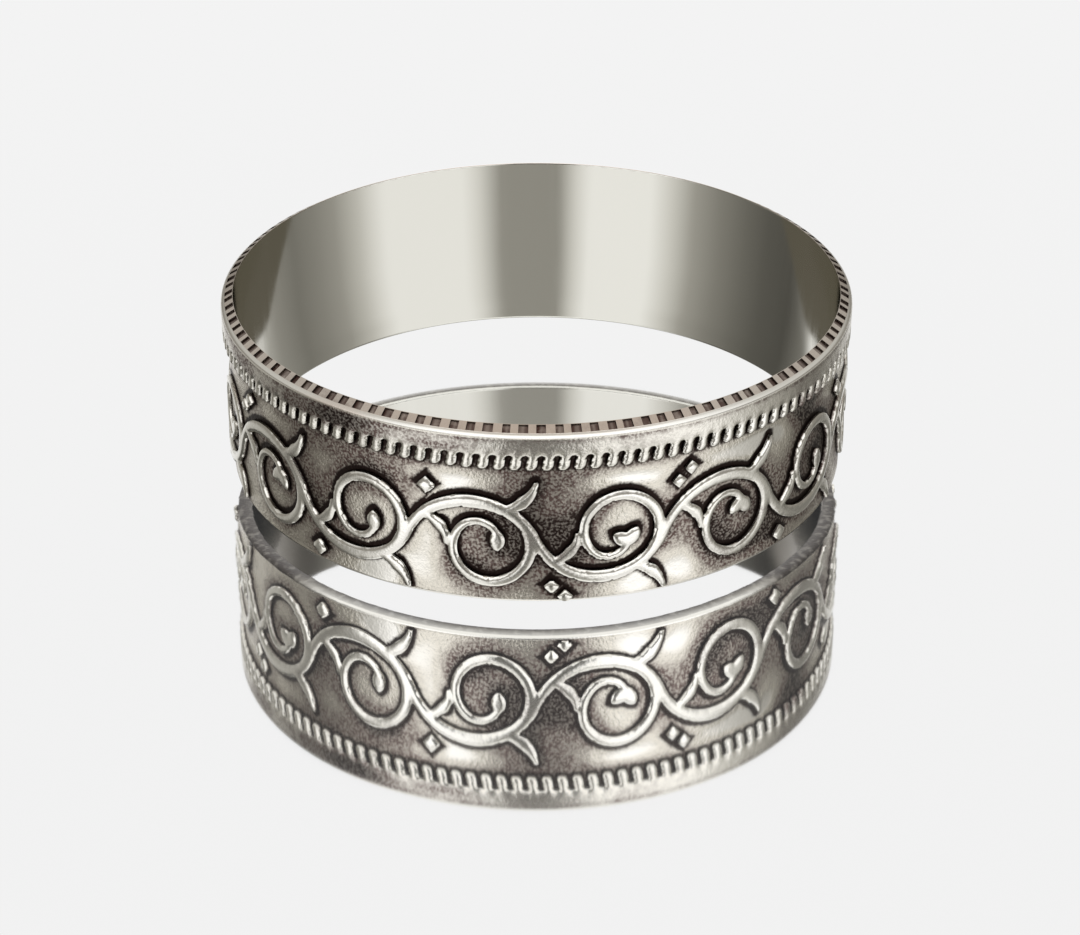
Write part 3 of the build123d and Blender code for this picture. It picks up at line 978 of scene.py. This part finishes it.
def floorPiece(name, heightAt, material):
    bm = bmesh.new()
    bmesh.ops.create_circle(bm, cap_ends=True, segments=floor["segments"], radius=floor["radius"])
    step = floor["bend"] / floor["bendSteps"]
    for number in range(-1, floor["bendSteps"] + 2):
        cut = (0, floor["fallFrom"] + number * step, 0)
        bmesh.ops.bisect_plane(bm, geom=bm.verts[:] + bm.edges[:] + bm.faces[:],
                               plane_co=cut, plane_no=(0, 1, 0))
    for vert in bm.verts:
        vert.co.z = heightAt(vert.co.y)
    for face in bm.faces:
        face.smooth = True
    mesh = bpy.data.meshes.new(name)
    bm.to_mesh(mesh)
    bm.free()
    mesh.materials.append(material)
    piece = bpy.data.objects.new(name, mesh)
    bpy.context.collection.objects.link(piece)
    piece.visible_glossy = False    # the silver mirrors the studio's lower half instead
    print(name, len(mesh.vertices), "vertices")
    return piece


def paleMirror():
    material, nodes, links, shader = newMaterial("paleMirror")
    shader.inputs["Metallic"].default_value = 1.0
    shader.inputs["Base Color"].default_value = (*(floor["silvering"],) * 3, 1)
    shader.inputs["Roughness"].default_value = floor["rough"]
    shader.inputs["Emission Color"].default_value = (1, 1, 1, 1)
    shader.inputs["Emission Strength"].default_value = floor["veil"]
    leanBump(nodes, links, shader, "Y", -floor["lean"])
    return material


def clearSheet():
    material, nodes, links, shader = newMaterial("clearSheet")
    nodes.remove(shader)
    clear = nodes.new("ShaderNodeBsdfTransparent")
    links.new(clear.outputs[0], nodes["Material Output"].inputs["Surface"])
    return material


def mirrorHeight(y):
    share = (y - floor["fallFrom"]) / floor["bend"]
    run = floor["bend"] * (max(share, 0) ** 2 / 2 if share < 1 else share - 0.5)
    return -floor["mirrorDepth"] - floor["fall"] * run


floorPiece("mirrorFloor", mirrorHeight, paleMirror())
floorPiece("clearFloor", lambda y: floor["sheet"], clearSheet())

# studio: a plain white surround; what the silver mirrors has darker cards at the sides
studio = {
    "white": 0.92,
    # degrees round from the camera's side, towards +X, and how bright the surround is there:
    # what the outside mirrors, what the hole mirrors further down, and the light above
    "cards": [(-180, 1.0), (-160, 0.95), (-144, 0.68), (-130, 0.46), (-115, 0.42),
              (-100, 0.28), (-88, 0.17), (-75, 0.24), (-63, 0.60), (-53, 1.32), (-19, 1.20),
              (-13, 0.12), (0, 0.08), (10, 0.12), (16, 1.20), (22, 1.30), (60, 1.26),
              (69, 0.85), (80, 0.54), (96, 0.38), (111, 0.18), (129, 0.19), (146, 0.55),
              (160, 0.85), (180, 1.0)],
    "inner": [(-180, 0.42), (-150, 0.20), (-132, 0.08), (-113, 0.105), (-100, 0.155),
              (-86, 0.235), (-73, 0.36), (-62, 0.67), (-52, 0.92), (-24, 0.92), (-17, 0.68),
              (-10, 0.30), (16, 0.305), (26, 0.73), (33, 0.90), (70, 0.90), (77, 0.74),
              (84, 0.55), (96, 0.33), (108, 0.25), (122, 0.19), (140, 0.28), (155, 0.48),
              (180, 0.42)],
    "above": [(-180, 0.50), (-130, 0.50), (-75, 0.62), (-42, 1.2), (0, 1.35), (50, 1.2), (95, 0.65),
              (135, 0.5), (180, 0.50)],
    "tint": (1.0, 0.96, 0.84),
    # by how steeply a ray goes up or down, where each of them begins and is full
    "innerSteep": (0.50, 0.56),
    "levelSteep": (-0.30, -0.12),
    "aboveSteep": (0.06, 0.32),
    "level": (0.26, 0.245, 0.22),
    "between": (0.125, 0.114, 0.092),   # what the silver's own mirror images show
    "overhead": (0.56, 0.51, 0.46),
    "overheadSteep": (0.80, 0.96),
    "below": (1.0, 1.0, 0.98),
    "belowSteep": (0.84, 0.95),
    # and for rays by way of the floor
    "innerByFloor": (0.60, 0.64),
    "upByFloor": (0.30, 0.45),
    "downByFloor": (0.76, 0.84),
}


def buildStudio():
    world = bpy.data.worlds.new("studio")
    bpy.context.scene.world = world
    world.use_nodes = True
    world.cycles.sampling_method = "NONE"
    tree = world.node_tree
    nodes, links = tree.nodes, tree.links
    place = nodes.new("ShaderNodeTexCoord")
    parts = nodes.new("ShaderNodeSeparateXYZ")
    links.new(place.outputs["Generated"], parts.inputs[0])
    towards = mathNode(tree, "MULTIPLY", parts.outputs["Y"], -1.0)
    around = mathNode(tree, "ARCTAN2", parts.outputs["X"], towards)
    share = nodes.new("ShaderNodeMapRange")
    share.inputs["From Min"].default_value = -math.pi
    share.inputs["From Max"].default_value = math.pi
    links.new(around, share.inputs["Value"])

    def aroundRamp(levels):
        ramp = nodes.new("ShaderNodeValToRGB")
        stops = ramp.color_ramp.elements
        while len(stops) < len(levels):
            stops.new(0.5)
        for stop, (degrees, level) in zip(stops, levels):
            stop.position = (degrees + 180) / 360
            shade = max(1 - level, 0)
            stop.color = (*(level * (1 - (1 - part) * shade) for part in studio["tint"]), 1)
        links.new(share.outputs["Result"], ramp.inputs["Fac"])
        return ramp.outputs["Color"]

    path = nodes.new("ShaderNodeLightPath")
    # rays by way of the floor have passed its clear sheet; for them the studio is turned over
    byFloor = mathNode(tree, "GREATER_THAN", path.outputs["Transparent Depth"], 0.5)
    direct = mathNode(tree, "SUBTRACT", 1.0, byFloor)
    sense = mathNode(tree, "SUBTRACT", direct, byFloor)
    upward = mathNode(tree, "MULTIPLY", parts.outputs["Z"], sense)
    downward = mathNode(tree, "MULTIPLY", upward, -1.0)
    mirrored, inner = aroundRamp(studio["cards"]), aroundRamp(studio["inner"])
    byWay = mirrored
    level, overhead, below = studio["level"], studio["overhead"], studio["below"]
    for ray, key, light in ((downward, "inner", inner), (upward, "level", level),
                            (upward, "above", aroundRamp(studio["above"])),
                            (upward, "overhead", overhead), (downward, "below", below)):
        mirrored = mixNode(tree, rampNode(tree, ray, *studio[key + "Steep"]), mirrored, light)
    for ray, key, light in ((downward, "inner", inner), (upward, "up", below),
                            (downward, "down", below)):
        byWay = mixNode(tree, rampNode(tree, ray, *studio[key + "ByFloor"]), byWay, light)
    # here a ray that comes straight from the camera counts as 1
    once = mathNode(tree, "GREATER_THAN", path.outputs["Ray Depth"], 1.5)
    twice = mathNode(tree, "GREATER_THAN", path.outputs["Ray Depth"], 2.5)
    mirrored = mixNode(tree, twice, mirrored, studio["between"])
    mirrored = mixNode(tree, byFloor, mirrored, byWay)
    offSilver = mathNode(tree, "MAXIMUM", mathNode(tree, "MULTIPLY", once, direct), twice)
    seen = mixNode(tree, offSilver, (studio["white"],) * 3, mirrored)
    links.new(seen, nodes["Background"].inputs["Color"])
    print("studio", len(nodes), "nodes")


buildStudio()

# camera, at the photo's angle
lens = {"focal": 90.73, "sensor": 36, "back": 82.9 * mm, "height": 45.35 * mm, "down": 29.19,
        "yaw": -0.08, "nearest": 0.005, "farthest": 10}
cameraData = bpy.data.cameras.new("camera")
cameraData.lens = lens["focal"]
cameraData.sensor_width = lens["sensor"]
cameraData.clip_start = lens["nearest"]
cameraData.clip_end = lens["farthest"]
camera = bpy.data.objects.new("camera", cameraData)
camera.location = Vector((0, -lens["back"], lens["height"]))
camera.rotation_euler = (math.radians(90 - lens["down"]), 0, math.radians(lens["yaw"]))
bpy.context.collection.objects.link(camera)
bpy.context.scene.camera = camera
bpy.context.scene.view_settings.view_transform = "Standard"
print("camera", lens["focal"], "mm lens")
